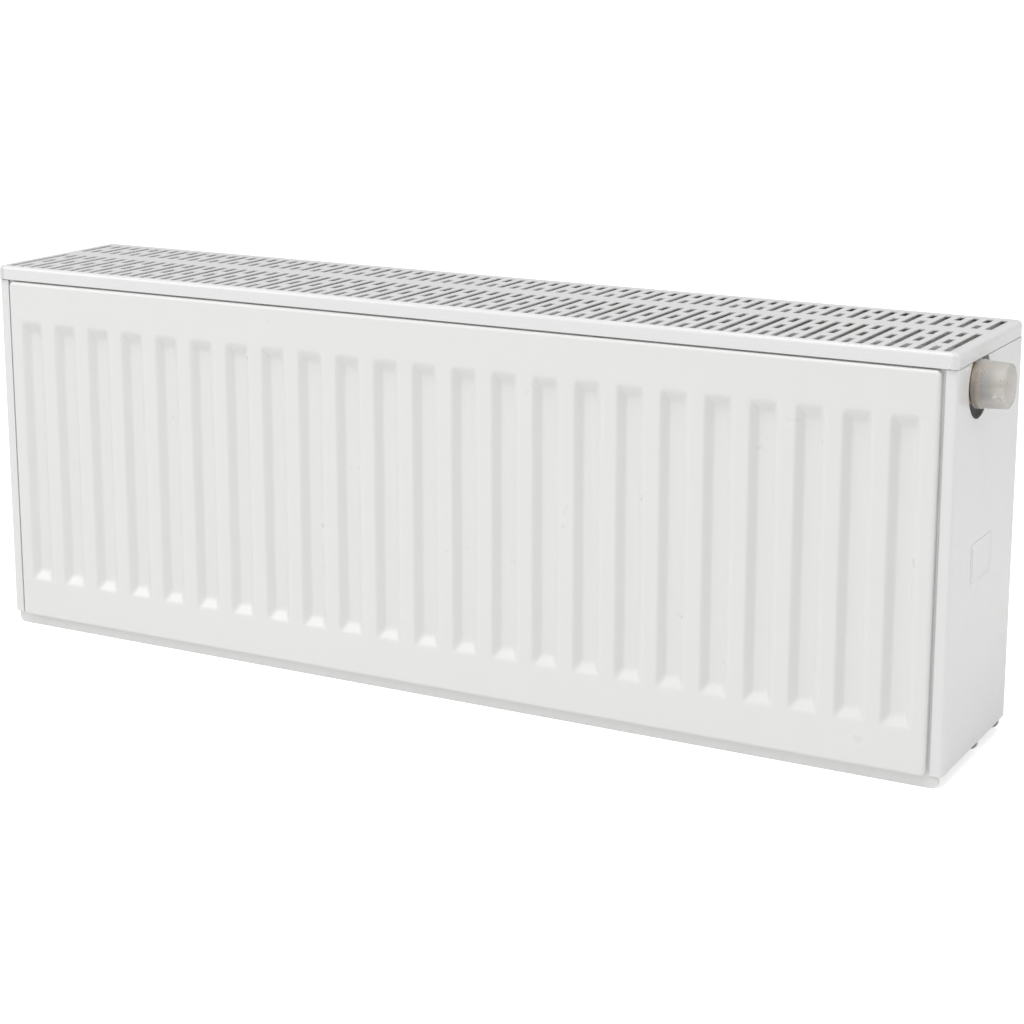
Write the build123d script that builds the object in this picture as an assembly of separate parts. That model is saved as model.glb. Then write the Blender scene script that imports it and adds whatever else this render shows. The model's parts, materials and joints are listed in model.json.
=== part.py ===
"""Triple panel radiator with a built-in thermostatic valve and bottom connections.

Units are millimetres, +Z is up and +Y points to the wall. Every piece is drawn in
casing coordinates: X = 0 midway between the side covers, Y = 0 on the front panel's
raised face, Z = 0 on the panels' bottom edges. save() then moves it to the row's
origin, the middle of the bottom of the bounding box.
"""
import os
from math import cos, floor, hypot, pi, sin

from build123d import *

os.makedirs("parts", exist_ok=True)

# ---- overall sizes ----
casing_length = 800.0       # over the side covers
overall_height = 300.0      # panel bottom edge to the grille's top face
overall_depth = 155.0       # front panel's raised face to the hanging lugs
cap_standout = 21.0         # protective cap beyond the right side cover

# ---- pressed steel panels ----
sheet = 1.2                 # thickness of one pressed sheet
press_depth = 5.0           # raised face above the flat seam flange
grille_rise = 3.6           # grille's top face above the panels' top edges
flange_end_gap = 3.0        # casing end to the seam flange
side_flange = 8.0           # seam flange showing at each end
edge_flange = 8.8           # seam flange along the top and the bottom
header_height = 40.3        # panel edge to the end of a groove
flange_corner_r = 5.0
body_corner_r = 4.0
press_edge_r = 2.5          # rounding where the raised face turns down to the flange
narrow_gap = 38.0           # air space between the middle and rear panels

# ---- grooves between the water channels ----
groove_pitch = 100.0 / 3
groove_margin = 20.0        # least distance from the raised face's end to a groove's axis
groove_width = 21.0
groove_floor_width = 11.0
groove_end_slope = 8.5      # length of the sloping end of a groove
groove_tool_past = 0.5      # groove tool above the raised face
groove_corner_r = 3.0
flank_spread = 0.5          # extra width of a groove's back, so the sloping wall keeps its thickness

# ---- convector sheets ----
fin_sheet = 0.5
fin_flat = 14.0             # flat welded to a water channel
fin_far_flat = 12.0
fin_back_gap = 1.0          # between the two convectors in the wide air space
fin_air_gap = 1.5           # between the rear convector and the panel in front of it

# ---- casing ----
casing_sheet = 0.8
lip_setback = 3.0           # side cover's front lip behind the raised face
lip_width = 8.6
lip_clearance = 0.5         # rear lip behind the rear panel's flange
cover_bottom = 9.5
cover_top_gap = 0.6         # under the grille's skirt
casing_bend_r = 2.0
valve_hole_gap = 7.0        # side cover's hole round the protective cap
badge_length = 46.0
badge_height = 30.0
badge_z = 146.0
badge_raise = 0.4
badge_corner_r = 3.0

# ---- top grille ----
grille_sheet = 0.9
skirt = 11.0
grille_overhang = 1.5       # grille past the side covers, front and rear
grille_corner_r = 5.0
grille_edge_r = 3.3
slot_pitch = 10.0
slot_width = 5.0
slot_corner_r = 0.8
slot_end_margin = 9.0       # least distance from the casing end to a row's centre
slot_front_margin = 3.5     # grille's front face to the slots
wide_band_inset = 8.4       # slots stop this far in front of the middle panel
narrow_band_lead = 3.3      # slots start this far over the middle panel
narrow_band_inset = 0.8     # slots stop this far in front of the rear panel
dash_bridge = 10.0          # metal between the dashes of a row

# ---- connections ----
tee_inset = 36.0            # casing end to the connectors' axes
tee_outer_r = 13.0
tee_bore_r = 9.0
port_outer_r = 13.5
port_setback = 12.0         # casing end to the mouths of the plugged side ports
valve_port_setback = 8.5    # casing end to the mouth of the valve's port
thread_bore_r = 9.32        # G1/2 internal thread, minor radius
thread_fit = 0.05           # radial clearance of a screwed-in plug
thread_length = 14.0
connection_spacing = 50.0
connection_rise = 2.0       # connection mouths above the panels' bottom edges
riser_outer_r = 8.0
riser_wall = 1.5
bridge_thickness = 4.0
running_fit = 0.05          # radial clearance of turning and sliding fits

# ---- clips and lugs ----
clip_clearance = 0.3
clip_wall = 2.0
clip_length = 14.0
clip_depth = 5.5            # how far a clip reaches over a flange
cover_clip_edge = 60.0      # panel bottom to the lower side clip
lug_depth = 5.8
lug_sheet = 2.0
lug_width = 30.0
lug_height = 62.0
lug_foot = 14.0
lug_hole_r = 5.0
lug_inset = 117.0
lug_edge = 60.0             # panel edge to a lug's centre

# ---- valve insert, seen along its axis from the port's mouth outwards ----
hex_thickness = 4.0
plug_hex_r = 13.0
cap_thread_r = 15.0         # M30 x 1.5 thread for a thermostatic head
cap_thread_pitch = 1.5
cap_thread_depth = 0.6
cap_thread_length = 9.0
neck_r = 7.0
neck_length = 6.5
pin_r = 1.6
pin_travel = 2.25
disc_r = 5.0
cap_base_gap = 3.0          # cap's rim to the insert's hexagon, free for its travel
cap_thread_wall = 1.65      # plastic round the cap's thread
cap_taper = 1.4             # the cap's end is this much smaller in radius than its rim
cap_wall = 1.6
cap_band = 5.0              # straight part of the cap, at its rim
cap_step = 0.4
cap_edge = 1.2              # bevel round the cap's end
cap_boss_length = 4.0       # boss that pushes the pin

# ---- seals and plugs ----
o_ring_r = 0.8
o_ring_fit = 0.05
o_ring_lip = 0.2            # an O-ring's mean circle outside its groove
key_socket_r = 4.6
key_socket_floor = 1.0      # key socket past the hexagon

# ---- air vent ----
vent_bore_r = 2.5
vent_neck_r = 5.0
vent_neck_length = 5.0
vent_seat = 4.0
spout_r = 8.0
spout_reach = 12.5
spout_pipe_r = 1.9
spout_bore_r = 1.2
screw_square = 4.6
screw_flange_r = 3.6
screw_flange = 0.6

# ---- worked out from the sizes above ----
casing_end = casing_length / 2
panel_half = press_depth + sheet
panel_thickness = 2 * panel_half
panel_height = overall_height - grille_rise
wide_gap = overall_depth - lug_depth - narrow_gap - 3 * panel_thickness
front_seam = panel_half
middle_seam = front_seam + panel_thickness + wide_gap
rear_seam = middle_seam + panel_thickness + narrow_gap
wide_start = front_seam + panel_half
wide_end = middle_seam - panel_half
narrow_start = middle_seam + panel_half
narrow_end = rear_seam - panel_half
rear_face = rear_seam + panel_half

skirt_bottom = overall_height - skirt
cover_top = skirt_bottom - cover_top_gap
cover_rear = rear_seam + sheet + lip_clearance + casing_sheet
grille_front = lip_setback - grille_overhang
grille_rear = cover_rear + grille_overhang

cap_base_r = cap_thread_r + running_fit + cap_thread_wall
cap_end_r = cap_base_r - cap_taper
valve_hole_r = cap_base_r + valve_hole_gap

flange_length = casing_length - 2 * flange_end_gap
body_length = flange_length - 2 * side_flange
body_height = panel_height - 2 * edge_flange
groove_length = panel_height - 2 * header_height
groove_count = floor((body_length - 2 * groove_margin) / groove_pitch) + 1
groove_xs = [(i - (groove_count - 1) / 2) * groove_pitch for i in range(groove_count)]

lower_z = (edge_flange + header_height) / 2
upper_z = min(panel_height - lower_z, skirt_bottom - cap_base_r - clip_clearance)
tee_x = casing_end - tee_inset
port_mouth = casing_end - port_setback
valve_mouth = casing_end - valve_port_setback
supply_x = tee_x - connection_spacing
valve_y = (wide_start + wide_end) / 2
link_end_z = (lower_z, upper_z)

frame_shift = Pos(-cap_standout / 2, -overall_depth / 2, 0)


def save(name, shape):
    """Write one node as STEP, moved to the row's origin."""
    shape = frame_shift * shape
    shape.label = name
    export_step(shape, f"parts/{name}.step")


# ---- basic solids ----
def slab_y(sketch, y0, y1):
    """Sketch drawn in X and Z, spanning y0 to y1."""
    return extrude(Plane.XZ.offset(-y1) * sketch, y1 - y0)


def slab_x(sketch, x0, x1):
    """Sketch drawn in Y and Z, spanning x0 to x1."""
    return extrude(Plane.YZ.offset(x0) * sketch, x1 - x0)


def slab_z(sketch, z0, z1):
    """Sketch drawn in X and Y, spanning z0 to z1."""
    return extrude(Plane.XY.offset(z0) * sketch, z1 - z0)


def block(x0, x1, y0, y1, z0, z1):
    return Pos((x0 + x1) / 2, (y0 + y1) / 2, (z0 + z1) / 2) * Box(x1 - x0, y1 - y0, z1 - z0)


def rod_x(r, x0, x1, y, z):
    return Pos((x0 + x1) / 2, y, z) * Rot(0, 90, 0) * Cylinder(r, abs(x1 - x0))


def rod_y(r, y0, y1, x, z):
    return Pos(x, (y0 + y1) / 2, z) * Rot(90, 0, 0) * Cylinder(r, abs(y1 - y0))


def rod_z(r, z0, z1, x, y):
    return Pos(x, y, (z0 + z1) / 2) * Cylinder(r, abs(z1 - z0))


def turned(outline):
    """Solid turned about the X axis from (x, radius) points."""
    return revolve(make_face(Polyline(*outline, close=True)), Axis.X)


def hexagon_x(radius, x0, x1):
    """Hexagonal prism along X, its corners on the given radius."""
    return slab_x(RegularPolygon(radius, 6), x0, x1)


def o_ring(mean_r, x):
    return Pos(x, 0, 0) * Rot(0, 90, 0) * Torus(mean_r, o_ring_r)


# ---- pressed panels ----
def groove_wedge(spread, y_shift):
    """Tapered groove tool standing at X = 0, its narrow floor at y_shift - sheet."""
    centre = Pos(0, panel_height / 2)
    mouth_y = -panel_half + y_shift
    floor_y = -sheet + y_shift
    slope_x = (groove_width - groove_floor_width) / 2 / press_depth
    slope_z = groove_end_slope / press_depth

    def section(y, depth_from_mouth):
        width = groove_width - 2 * slope_x * depth_from_mouth + 2 * spread
        length = groove_length - 2 * slope_z * depth_from_mouth + 2 * spread
        outline = RectangleRounded(width, length, groove_corner_r)
        return Plane.XZ.offset(-y) * centre * outline

    return loft([section(floor_y, press_depth), section(mouth_y - groove_tool_past, -groove_tool_past)])


def pressed_sheet():
    """One pressed sheet: seam face on Y = 0, raised face towards -Y."""
    centre = Pos(0, panel_height / 2)
    flange = slab_y(centre * RectangleRounded(flange_length, panel_height, flange_corner_r), -sheet, 0)
    outer = slab_y(centre * RectangleRounded(body_length, body_height, body_corner_r), -panel_half, 0)
    outer = fillet(outer.faces().sort_by(Axis.Y)[0].edges(), press_edge_r)
    inner_outline = RectangleRounded(body_length - 2 * sheet, body_height - 2 * sheet, body_corner_r - sheet)
    inner = slab_y(centre * inner_outline, -press_depth, 0)
    inner = fillet(inner.faces().sort_by(Axis.Y)[0].edges(), press_edge_r - sheet)
    groove = groove_wedge(0, 0)
    groove_back = groove_wedge(flank_spread, sheet)
    cavity = inner - [Pos(x, 0, 0) * groove_back for x in groove_xs]
    return flange + outer - [Pos(x, 0, 0) * groove for x in groove_xs] - cavity


def with_water_holes(panel_sheet):
    """Sheet with a hole at each corner, where a connector is welded on."""
    holes = [rod_y(tee_bore_r, -2 * panel_half, 2 * panel_half, side * tee_x, z)
             for side in (-1, 1) for z in link_end_z]
    return panel_sheet - holes


closed_front_half = pressed_sheet()
holed_front_half = with_water_holes(closed_front_half)
closed_rear_half = mirror(closed_front_half, about=Plane.XZ)
holed_rear_half = mirror(holed_front_half, about=Plane.XZ)

panels = {
    "front_panel": (front_seam, closed_front_half, holed_rear_half),
    "middle_panel": (middle_seam, holed_front_half, holed_rear_half),
    "rear_panel": (rear_seam, holed_front_half, closed_rear_half),
}
for panel_name, (seam, front_half, rear_half) in panels.items():
    save(f"{panel_name}_front_sheet", Pos(0, seam, 0) * front_half)
    save(f"{panel_name}_rear_sheet", Pos(0, seam, 0) * rear_half)


# ---- convector sheets ----
def ribbon(points, thickness):
    """Closed outline of a bent strip: the points, and the same points moved to their left."""
    moved = []
    for i, (x, y) in enumerate(points):
        before = points[max(i - 1, 0)]
        after = points[min(i + 1, len(points) - 1)]
        normals = []
        for (x0, y0), (x1, y1) in ((before, (x, y)), ((x, y), after)):
            run = hypot(x1 - x0, y1 - y0)
            if run > 0:
                normals.append(((y0 - y1) / run, (x1 - x0) / run))
        nx = sum(n[0] for n in normals) / len(normals)
        ny = sum(n[1] for n in normals) / len(normals)
        scale = thickness / (nx * nx + ny * ny)
        moved.append((x + nx * scale, y + ny * scale))
    return points + moved[::-1]


def convector(weld_y, depth, left_end, right_end):
    """Folded sheet, level with the groove ends and welded to the water channels at weld_y.

    A negative depth folds it forwards.
    """
    channel_xs = [(a + b) / 2 for a, b in zip(groove_xs, groove_xs[1:])]
    welds = [x for x in channel_xs if left_end + fin_flat / 2 <= x <= right_end - fin_flat / 2]
    side = 1 if depth > 0 else -1
    far_y = weld_y + depth - side * fin_sheet
    path = []
    for x in welds:
        path += [(x - fin_flat / 2, weld_y), (x + fin_flat / 2, weld_y)]
        if x != welds[-1]:
            middle = x + groove_pitch / 2
            path += [(middle - fin_far_flat / 2, far_y), (middle + fin_far_flat / 2, far_y)]
    if side < 0:
        path = path[::-1]
    outline = make_face(Polyline(*ribbon(path, fin_sheet), close=True))
    return slab_z(outline, header_height, panel_height - header_height)


wide_fin_depth = (wide_gap - fin_back_gap) / 2
narrow_fin_depth = narrow_gap - fin_air_gap
fin_left = -tee_x + tee_outer_r
fin_right = tee_x - tee_outer_r
fin_right_of_riser = supply_x - port_outer_r
save("front_convector", convector(wide_start, wide_fin_depth, fin_left, fin_right_of_riser))
save("middle_convector", convector(wide_end, -wide_fin_depth, fin_left, fin_right_of_riser))
save("rear_convector", convector(narrow_end, -narrow_fin_depth, fin_left, fin_right))


# ---- water connectors ----
def tee(side, z):
    """Welded connector across the wide air space, with a threaded port towards the casing end."""
    x = side * tee_x
    mouth = side * port_mouth
    body = rod_y(tee_outer_r, wide_start, wide_end, x, z)
    body += rod_x(port_outer_r, x, mouth, valve_y, z)
    body -= rod_y(tee_bore_r, wide_start, wide_end, x, z)
    return body - rod_x(thread_bore_r, x, mouth, valve_y, z)


def link_tube(side, z):
    """Short tube that joins the middle and rear panels."""
    x = side * tee_x
    tube = rod_y(tee_outer_r, narrow_start, narrow_end, x, z)
    return tube - rod_y(tee_bore_r, narrow_start, narrow_end, x, z)


def down_socket(x, top):
    """Threaded socket that opens downwards."""
    body = rod_z(port_outer_r, connection_rise, top, x, valve_y)
    body -= rod_z(thread_bore_r, connection_rise, connection_rise + thread_length, x, valve_y)
    return body - rod_z(riser_outer_r - riser_wall, connection_rise, top, x, valve_y)


socket_top = lower_z
riser_bottom = socket_top

vent_tee = tee(-1, upper_z)
drain_tee = tee(-1, lower_z)
return_tee = tee(1, lower_z) - rod_z(port_outer_r, connection_rise, lower_z, tee_x, valve_y)
return_socket = down_socket(tee_x, lower_z) - rod_y(tee_bore_r, wide_start, wide_end, tee_x, lower_z)
return_socket -= rod_x(thread_bore_r, tee_x, port_mouth, valve_y, lower_z)
supply_socket = down_socket(supply_x, socket_top)

housing_end = supply_x - port_outer_r
valve_housing = rod_x(port_outer_r, housing_end, valve_mouth, valve_y, upper_z)
valve_housing += rod_y(tee_outer_r, wide_start, wide_end, tee_x, upper_z)
valve_housing -= rod_y(tee_bore_r, wide_start, wide_end, tee_x, upper_z)
valve_housing -= rod_x(thread_bore_r, housing_end + riser_wall, valve_mouth, valve_y, upper_z)
valve_housing -= rod_z(riser_outer_r - riser_wall, riser_bottom, upper_z, supply_x, valve_y)

riser_pipe = rod_z(riser_outer_r, riser_bottom, upper_z, supply_x, valve_y)
riser_pipe -= rod_z(riser_outer_r - riser_wall, riser_bottom, upper_z, supply_x, valve_y)
riser_pipe -= rod_x(port_outer_r, housing_end, valve_mouth, valve_y, upper_z)

bridge_z = connection_rise + thread_length / 2
bridge = block(supply_x, tee_x, valve_y - port_outer_r / 2, valve_y + port_outer_r / 2,
               bridge_z - bridge_thickness / 2, bridge_z + bridge_thickness / 2)
bridge -= rod_z(port_outer_r, 0, lower_z, supply_x, valve_y)
bridge -= rod_z(port_outer_r, 0, lower_z, tee_x, valve_y)

save("vent_tee", vent_tee)
save("drain_tee", drain_tee)
save("return_tee", return_tee)
save("return_socket", return_socket)
save("supply_socket", supply_socket)
save("valve_housing", valve_housing)
save("riser_pipe", riser_pipe)
save("connection_bridge", bridge)
for side, side_name in ((-1, "left"), (1, "right")):
    for z, level in zip(link_end_z, ("lower", "upper")):
        save(f"{level}_{side_name}_link_tube", link_tube(side, z))


# ---- plugs, drawn along +X from the port's mouth at X = 0, then placed ----
def in_port(shape, side, z):
    """Place a piece drawn along +X at a plugged side port."""
    turned_shape = shape if side > 0 else Rot(0, 0, 180) * shape
    return Pos(side * port_mouth, valve_y, z) * turned_shape


def in_valve_port(shape):
    """Place a piece drawn along +X at the mouth of the valve housing."""
    return Pos(valve_mouth, valve_y, upper_z) * shape


groove_half = o_ring_r + o_ring_fit
ring_mean_r = thread_bore_r + groove_half + o_ring_lip
ring_seat = turned([(-0.1, ring_mean_r - groove_half), (2 * groove_half, ring_mean_r - groove_half),
                    (2 * groove_half, ring_mean_r + groove_half), (-0.1, ring_mean_r + groove_half)])
shank_r = thread_bore_r - thread_fit


def plug_body():
    """Hexagon-headed plug with a seat for its O-ring."""
    return hexagon_x(plug_hex_r, 0, hex_thickness) + rod_x(shank_r, -thread_length, 0, 0, 0) - ring_seat


plug_ring = o_ring(ring_mean_r, groove_half)
key_socket = hexagon_x(key_socket_r, -key_socket_floor, hex_thickness)
blind_plug = plug_body() - key_socket
for side, side_name in ((-1, "left"), (1, "right")):
    save(f"{side_name}_blind_plug", in_port(blind_plug, side, lower_z))
    save(f"{side_name}_blind_plug_o_ring", in_port(plug_ring, side, lower_z))

# ---- air vent: plug, turning spout and screw ----
spout_start = hex_thickness + clip_clearance
spout_end = hex_thickness + vent_neck_length
vent_plug = plug_body() + rod_x(vent_neck_r, hex_thickness, spout_end, 0, 0)
vent_plug -= rod_x(vent_bore_r + running_fit, -thread_length + vent_seat, spout_end, 0, 0)
vent_plug -= rod_x(spout_bore_r, -thread_length, -thread_length + vent_seat, 0, 0)

spout_middle = (spout_start + spout_end) / 2
vent_spout = rod_x(spout_r, spout_start, spout_end, 0, 0)
vent_spout += rod_z(spout_pipe_r, -spout_reach, 0, spout_middle, 0)
vent_spout -= rod_x(vent_neck_r + running_fit, spout_start, spout_end, 0, 0)
vent_spout -= rod_z(spout_bore_r, -spout_reach, 0, spout_middle, 0)

screw_head_start = spout_end + clip_clearance
screw_start = -thread_length + vent_seat + clip_clearance
vent_screw = rod_x(vent_bore_r, screw_start, screw_head_start, 0, 0)
vent_screw += rod_x(screw_flange_r, screw_head_start, screw_head_start + screw_flange, 0, 0)
square_half = screw_square / 2
screw_end = port_setback - clip_clearance
vent_screw += block(screw_head_start, screw_end, -square_half, square_half, -square_half, square_half)

save("vent_plug", in_port(vent_plug, -1, upper_z))
save("vent_plug_o_ring", in_port(plug_ring, -1, upper_z))
save("vent_spout", in_port(vent_spout, -1, upper_z))
save("vent_screw", in_port(vent_screw, -1, upper_z))

# ---- thermostatic valve insert ----
insert_inner_end = -(valve_mouth - tee_x) - tee_bore_r
seat_r = 3.6
chamber_r = 6.0
seat_length = 2.0
guide_length = 2.0
window_length = 8.0
spring_r = 3.4
spring_wire_r = 0.35
spring_turns = 7
collar_r = 4.2
collar_length = 1.5
gland_length = 10.0
disc_length = 2.0
disc_holder_r = 4.0
disc_holder_length = 0.8
disc_gap = pin_travel + 0.35

thread_end = hex_thickness + cap_thread_length
neck_end = thread_end + neck_length
disc_start = insert_inner_end + seat_length + disc_gap
guide_start = insert_inner_end + seat_length + window_length
guide_end = guide_start + guide_length
gland_start = neck_end - gland_length
gland_r = 4.6

thread_outline = [(hex_thickness, 0)]
for i in range(int(cap_thread_length / cap_thread_pitch)):
    ridge = hex_thickness + i * cap_thread_pitch
    thread_outline += [(ridge, cap_thread_r - cap_thread_depth), (ridge + cap_thread_pitch / 2, cap_thread_r)]
thread_outline += [(thread_end, cap_thread_r - cap_thread_depth), (thread_end, 0)]

insert = rod_x(shank_r, insert_inner_end, 0, 0, 0) + hexagon_x(plug_hex_r, 0, hex_thickness)
insert += turned(thread_outline)
insert += rod_x(neck_r, thread_end, neck_end, 0, 0)
insert -= ring_seat
insert -= rod_x(seat_r, insert_inner_end, insert_inner_end + seat_length, 0, 0)
insert -= rod_x(chamber_r, insert_inner_end + seat_length, guide_start, 0, 0)
insert -= rod_x(pin_r + clip_clearance, guide_start, guide_end, 0, 0)
insert -= rod_x(gland_r, guide_end, neck_end, 0, 0)
window_x = insert_inner_end + seat_length + window_length / 2
insert -= rod_z(window_length / 3, -2 * shank_r, 2 * shank_r, window_x, 0)
insert -= rod_y(window_length / 3, -2 * shank_r, 2 * shank_r, window_x, 0)

gland = rod_x(gland_r, gland_start, neck_end, 0, 0)
gland_ring_x = gland_start + gland_length / 2
gland_ring_r = pin_r + running_fit + o_ring_r
gland -= rod_x(pin_r + running_fit, gland_start, neck_end, 0, 0)
gland -= rod_x(gland_ring_r + groove_half, gland_ring_x - groove_half, gland_ring_x + groove_half, 0, 0)
gland_ring = o_ring(gland_ring_r, gland_ring_x)

cap_start = hex_thickness + cap_base_gap
cap_end = valve_port_setback + cap_standout
cap_inner_end = cap_end - cap_wall
pin_end = cap_inner_end - cap_boss_length - clip_clearance
pin = rod_x(pin_r, disc_start, pin_end, 0, 0)
collar_x = gland_start - clip_clearance - collar_length
pin += rod_x(collar_r, collar_x, collar_x + collar_length, 0, 0)
disc_end = disc_start + disc_length
pin += rod_x(disc_holder_r, disc_end, disc_end + disc_holder_length, 0, 0)
disc = rod_x(disc_r, disc_start, disc_end, 0, 0) - rod_x(pin_r, disc_start, pin_end, 0, 0)

spring_start = guide_end + pin_travel + clip_clearance
spring_length = collar_x - spring_start - 2 * spring_wire_r
spring_path = Helix(spring_length / spring_turns, spring_length, spring_r)
spring_section = Plane(spring_path @ 0, z_dir=spring_path % 0) * Circle(spring_wire_r)
spring = Pos(spring_start + spring_wire_r, 0, 0) * Rot(0, 90, 0) * sweep(spring_section, path=spring_path)

# presetting ring: turned on the neck with a key, it throttles the insert
ring_outer_r = 10.4
preset_setback = 0.5        # neck showing past the ring
ring_inner_r = neck_r + running_fit
ring_start = thread_end + clip_clearance
ring_end = neck_end - preset_setback
key_notches = 6
notch_r = 1.1
notch_length = 2.0
preset_ring = rod_x(ring_outer_r, ring_start, ring_end, 0, 0)
preset_ring -= rod_x(ring_inner_r, ring_start, ring_end, 0, 0)
for i in range(key_notches):
    angle = 2 * pi * i / key_notches
    notch_y, notch_z = ring_outer_r * cos(angle), ring_outer_r * sin(angle)
    preset_ring -= rod_x(notch_r, ring_end - notch_length, ring_end, notch_y, notch_z)

save("valve_insert", in_valve_port(insert))
save("valve_insert_o_ring", in_valve_port(plug_ring))
save("valve_gland", in_valve_port(gland))
save("gland_o_ring", in_valve_port(gland_ring))
save("valve_pin", in_valve_port(pin))
save("valve_disc", in_valve_port(disc))
save("valve_spring", in_valve_port(spring))
save("preset_ring", in_valve_port(preset_ring))

# ---- protective cap over the valve insert ----
thread_cap_r = cap_thread_r + running_fit
thread_cap_end = thread_end + pin_travel + clip_clearance
cap_cavity_r = cap_end_r - cap_wall
band_end = cap_start + cap_band
cap = turned([(cap_start, 0), (cap_start, cap_base_r), (band_end, cap_base_r),
              (band_end + cap_step, cap_base_r - cap_step), (cap_end - cap_edge, cap_end_r),
              (cap_end, cap_end_r - cap_edge), (cap_end, 0)])
cap -= rod_x(thread_cap_r, cap_start, thread_cap_end, 0, 0)
cap -= rod_x(cap_cavity_r, cap_start, cap_inner_end, 0, 0)
cap += rod_x(2 * pin_r, cap_inner_end - cap_boss_length, cap_inner_end, 0, 0)
save("protective_cap", in_valve_port(cap))


# ---- side covers ----
def ring_outline():
    """Casing outline in plan, one sheet thick."""
    depth = cover_rear - lip_setback
    middle = Pos(0, (cover_rear + lip_setback) / 2)
    outer = RectangleRounded(casing_length, depth, casing_bend_r)
    inner = RectangleRounded(casing_length - 2 * casing_sheet, depth - 2 * casing_sheet,
                             casing_bend_r - casing_sheet)
    return middle * (outer - inner)


def side_cover():
    """Right-hand cover: a plate with lips folded over the panel ends and a round hole for the valve."""
    keep = Pos(casing_end - lip_width / 2, overall_depth / 2) * Rectangle(lip_width, 2 * overall_depth)
    cover = slab_z(ring_outline() & keep, cover_bottom, cover_top)
    return cover - rod_x(valve_hole_r, casing_end - lip_width, casing_end + lip_width, valve_y, upper_z)


right_cover = side_cover()
left_cover = mirror(right_cover, about=Plane.YZ)
badge_y = middle_seam - badge_length / 2
badge = slab_x(Pos(badge_y, badge_z) * RectangleRounded(badge_length, badge_height, badge_corner_r),
               casing_end, casing_end + badge_raise)
save("right_side_cover", right_cover + badge)
save("left_side_cover", left_cover)


def flange_clip(reach, base):
    """U-shaped clip drawn along +X: it grips a flange whose edge lies at X = 0."""
    half_slot = sheet + clip_clearance
    half_width = half_slot + clip_wall
    body = block(-reach, base, -half_width, half_width, -clip_length / 2, clip_length / 2)
    return body - block(-reach, clip_clearance, -half_slot, half_slot, -clip_length / 2, clip_length / 2)


flange_end = casing_end - flange_end_gap
cover_clip = flange_clip(clip_depth, flange_end_gap - casing_sheet)
cover_clip_zs = (cover_clip_edge, panel_height - 2 * cover_clip_edge)
right_clips = [Pos(flange_end, middle_seam, z) * cover_clip for z in cover_clip_zs]
left_clips = [mirror(clip, about=Plane.YZ) for clip in right_clips]
save("right_cover_clips", Compound(children=right_clips))
save("left_cover_clips", Compound(children=left_clips))


# ---- top grille ----
def tray(inset, top, bottom):
    """Rounded block of the grille's plan, used for its outside and its hollow."""
    width = casing_length - 2 * inset
    depth = grille_rear - grille_front - 2 * inset
    middle = Pos(0, (grille_front + grille_rear) / 2)
    solid = slab_z(middle * RectangleRounded(width, depth, grille_corner_r - inset), bottom, top)
    return fillet(solid.faces().sort_by(Axis.Z)[-1].edges(), grille_edge_r - inset)


def slot(x, y0, y1):
    """Slot across the grille, with slightly rounded corners."""
    outline = Pos(x, (y0 + y1) / 2) * RectangleRounded(slot_width, y1 - y0, slot_corner_r)
    return slab_z(outline, overall_height - 2 * grille_sheet, overall_height + grille_sheet)


def slot_row(x, y0, y1, dashes):
    """One row across an air space, as equal dashes."""
    length = (y1 - y0 - (dashes - 1) * dash_bridge) / dashes
    step = length + dash_bridge
    return [slot(x, y0 + i * step, y0 + i * step + length) for i in range(dashes)]


row_count = floor((casing_length - 2 * slot_end_margin) / slot_pitch) + 1
row_xs = [(i - (row_count - 1) / 2) * slot_pitch for i in range(row_count)]
wide_band = (grille_front + slot_front_margin, wide_end - wide_band_inset)
narrow_band = (narrow_start - narrow_band_lead, narrow_end - narrow_band_inset)
slots = []
for i, x in enumerate(row_xs):
    whole_row = i % 2 == 0
    slots += slot_row(x, *wide_band, 1 if whole_row else 3)
    slots += slot_row(x, *narrow_band, 1 if whole_row else 2)

hollow = tray(grille_sheet, overall_height - grille_sheet, skirt_bottom)
grille = tray(0, overall_height, skirt_bottom) - hollow - slots
save("top_grille", grille)

grille_clip = flange_clip(clip_depth, grille_rise - grille_sheet)
grille_clip_count = 4
clip_span = casing_length * 0.75
clip_xs = [clip_span * (i / (grille_clip_count - 1) - 0.5) for i in range(grille_clip_count)]
upright_clip = Rot(0, -90, 0) * grille_clip
save("grille_clips", Compound(children=[Pos(x, middle_seam, panel_height) * upright_clip for x in clip_xs]))


# ---- hanging lugs ----
def hanging_lug(x, z):
    """Hat-shaped strap welded to the rear panel; a wall bracket hooks into it."""
    half = lug_height / 2
    inner = half - lug_foot
    strap = [(0, -half), (lug_sheet, -half), (lug_sheet, -inner - lug_sheet), (lug_depth, -inner - lug_sheet),
             (lug_depth, inner + lug_sheet), (lug_sheet, inner + lug_sheet), (lug_sheet, half), (0, half),
             (0, inner), (lug_depth - lug_sheet, inner), (lug_depth - lug_sheet, -inner), (0, -inner)]
    outline = Pos(rear_face, z) * make_face(Polyline(*strap, close=True))
    lug = slab_x(outline, x - lug_width / 2, x + lug_width / 2)
    return lug - rod_y(lug_hole_r, rear_face, overall_depth + lug_depth, x, z)


for side, side_name in ((-1, "left"), (1, "right")):
    for z, level in ((lug_edge, "lower"), (panel_height - lug_edge, "upper")):
        save(f"{level}_{side_name}_hanging_lug", hanging_lug(side * (casing_end - lug_inset), z))
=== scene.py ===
import json
from math import pi

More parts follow.
